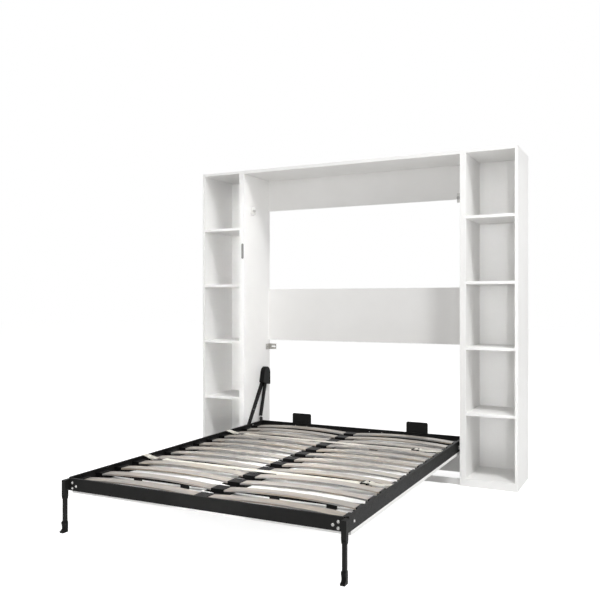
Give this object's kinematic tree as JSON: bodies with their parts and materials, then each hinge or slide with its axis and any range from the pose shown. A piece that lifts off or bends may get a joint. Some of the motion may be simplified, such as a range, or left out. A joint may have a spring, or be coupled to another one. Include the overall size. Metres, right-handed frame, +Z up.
{
  "type": "wall bed",
  "caption": "Vertical fold-down wall bed: sprung slats in a steel frame with gas springs and folding legs, in a white cabinet between open bookcases",
  "frame": {"origin": "on the floor under the middle of the space that the open bed and cabinet take", "axes": "+X to the right seen from the foot of the bed, +Y to the wall, +Z up"},
  "size_m": [2.352, 2.2716, 2.17],
  "materials": {
    "white_board": "matt white melamine on board",
    "frame_steel": "charcoal powder coat",
    "slat_wood": "greige streaked veneer, satin",
    "moulded_plastic": "black moulded plastic",
    "plated_steel": "bright zinc or chrome plate",
    "bracket_steel": "zinc plated sheet",
    "buffer_rubber": "black rubber",
    "webbing": "cream woven webbing"
  },
  "bodies": {
    "cabinet": {"centre_side_left": "white_board", "centre_side_right": "white_board", "centre_top": "white_board", "centre_plinth": "white_board", "rear_rail_top": "white_board", "rear_rail_middle": "white_board", "rear_rail_low": "white_board", "left_tower_outer_side": "white_board", "left_tower_inner_side": "white_board", "right_tower_outer_side": "white_board", "right_tower_inner_side": "white_board", "tower_tops": "white_board", "tower_bottoms": "white_board", "tower_plinths": "white_board", "tower_backs": "white_board", "left_tower_shelves": "white_board", "right_tower_shelves": "white_board", "left_pivot_arm": "frame_steel", "right_pivot_arm": "frame_steel", "arm_caps": "moulded_plastic", "latch_pin": "plated_steel", "pivot_bolts": "plated_steel", "spring_top_pins": "plated_steel", "wall_brackets": "bracket_steel", "closing_stops": "bracket_steel", "stop_buffers": "buffer_rubber"},
    "bed": {"left_side_rail": "frame_steel", "right_side_rail": "frame_steel", "front_rail": "frame_steel", "rear_rail": "frame_steel", "corner_posts": "frame_steel", "centre_beam": "frame_steel", "cross_tubes": "frame_steel", "panel_brackets": "frame_steel", "mattress_stops": "frame_steel", "spring_lugs": "frame_steel", "leg_hinge_pins": "plated_steel", "left_slats": "slat_wood", "right_slats": "slat_wood", "side_slat_holders": "moulded_plastic", "centre_slat_holders": "moulded_plastic", "front_panel": "white_board", "front_strap": "webbing", "rear_strap": "webbing", "strap_buckles": "moulded_plastic"},
    "left_leg": {"left_leg": "frame_steel", "left_foot": "moulded_plastic"},
    "right_leg": {"right_leg": "frame_steel", "right_foot": "moulded_plastic"},
    "left_gas_cylinder": {"left_gas_cylinder": "frame_steel"},
    "right_gas_cylinder": {"right_gas_cylinder": "frame_steel"},
    "left_gas_rod": {"left_gas_rod": "plated_steel"},
    "right_gas_rod": {"right_gas_rod": "plated_steel"},
    "latch": {"safety_latch": "bracket_steel"}
  },
  "joints": [
    {"name": "bed_fold", "type": "hinge", "parent": "cabinet", "child": "bed", "pos_m": [0, 0.78675, 0.238], "axis": [-1, 0, 0], "range_deg": [0, 90]},
    {"name": "latch_turn", "type": "hinge", "parent": "cabinet", "child": "latch", "pos_m": [-0.822, 0.73385, 1.618], "axis": [0, -1, 0], "range_deg": [0, 90]},
    {"name": "left_leg_fold", "type": "hinge", "parent": "bed", "child": "left_leg", "pos_m": [-0.783, -1.10725, 0.177], "axis": [1, 0, 0], "range_deg": [0, 90]},
    {"name": "left_strut_swing", "type": "hinge", "parent": "cabinet", "child": "left_gas_cylinder", "pos_m": [-0.79375, 1.04775, 0.618], "axis": [-1, 0, 0], "range_deg": [0, 4.41]},
    {"name": "left_rod_slide", "type": "slide", "parent": "left_gas_cylinder", "child": "left_gas_rod", "axis": [0, -0.2767, -0.961], "range_m": [0, 0.24882]},
    {"name": "right_leg_fold", "type": "hinge", "parent": "bed", "child": "right_leg", "pos_m": [0.783, -1.10725, 0.177], "axis": [1, 0, 0], "range_deg": [0, 90]},
    {"name": "right_strut_swing", "type": "hinge", "parent": "cabinet", "child": "right_gas_cylinder", "pos_m": [0.79375, 1.04775, 0.618], "axis": [-1, 0, 0], "range_deg": [0, 4.41]},
    {"name": "right_rod_slide", "type": "slide", "parent": "right_gas_cylinder", "child": "right_gas_rod", "axis": [0, -0.2767, -0.961], "range_m": [0, 0.24882]}
  ],
  "couplings": [
    {"joint": "left_strut_swing", "follows": "bed_fold", "ratio": 0.0484},
    {"joint": "left_rod_slide", "follows": "bed_fold", "m_per_rad": 0.15827},
    {"joint": "right_strut_swing", "follows": "bed_fold", "ratio": 0.0484},
    {"joint": "right_rod_slide", "follows": "bed_fold", "m_per_rad": 0.15827}
  ]
}
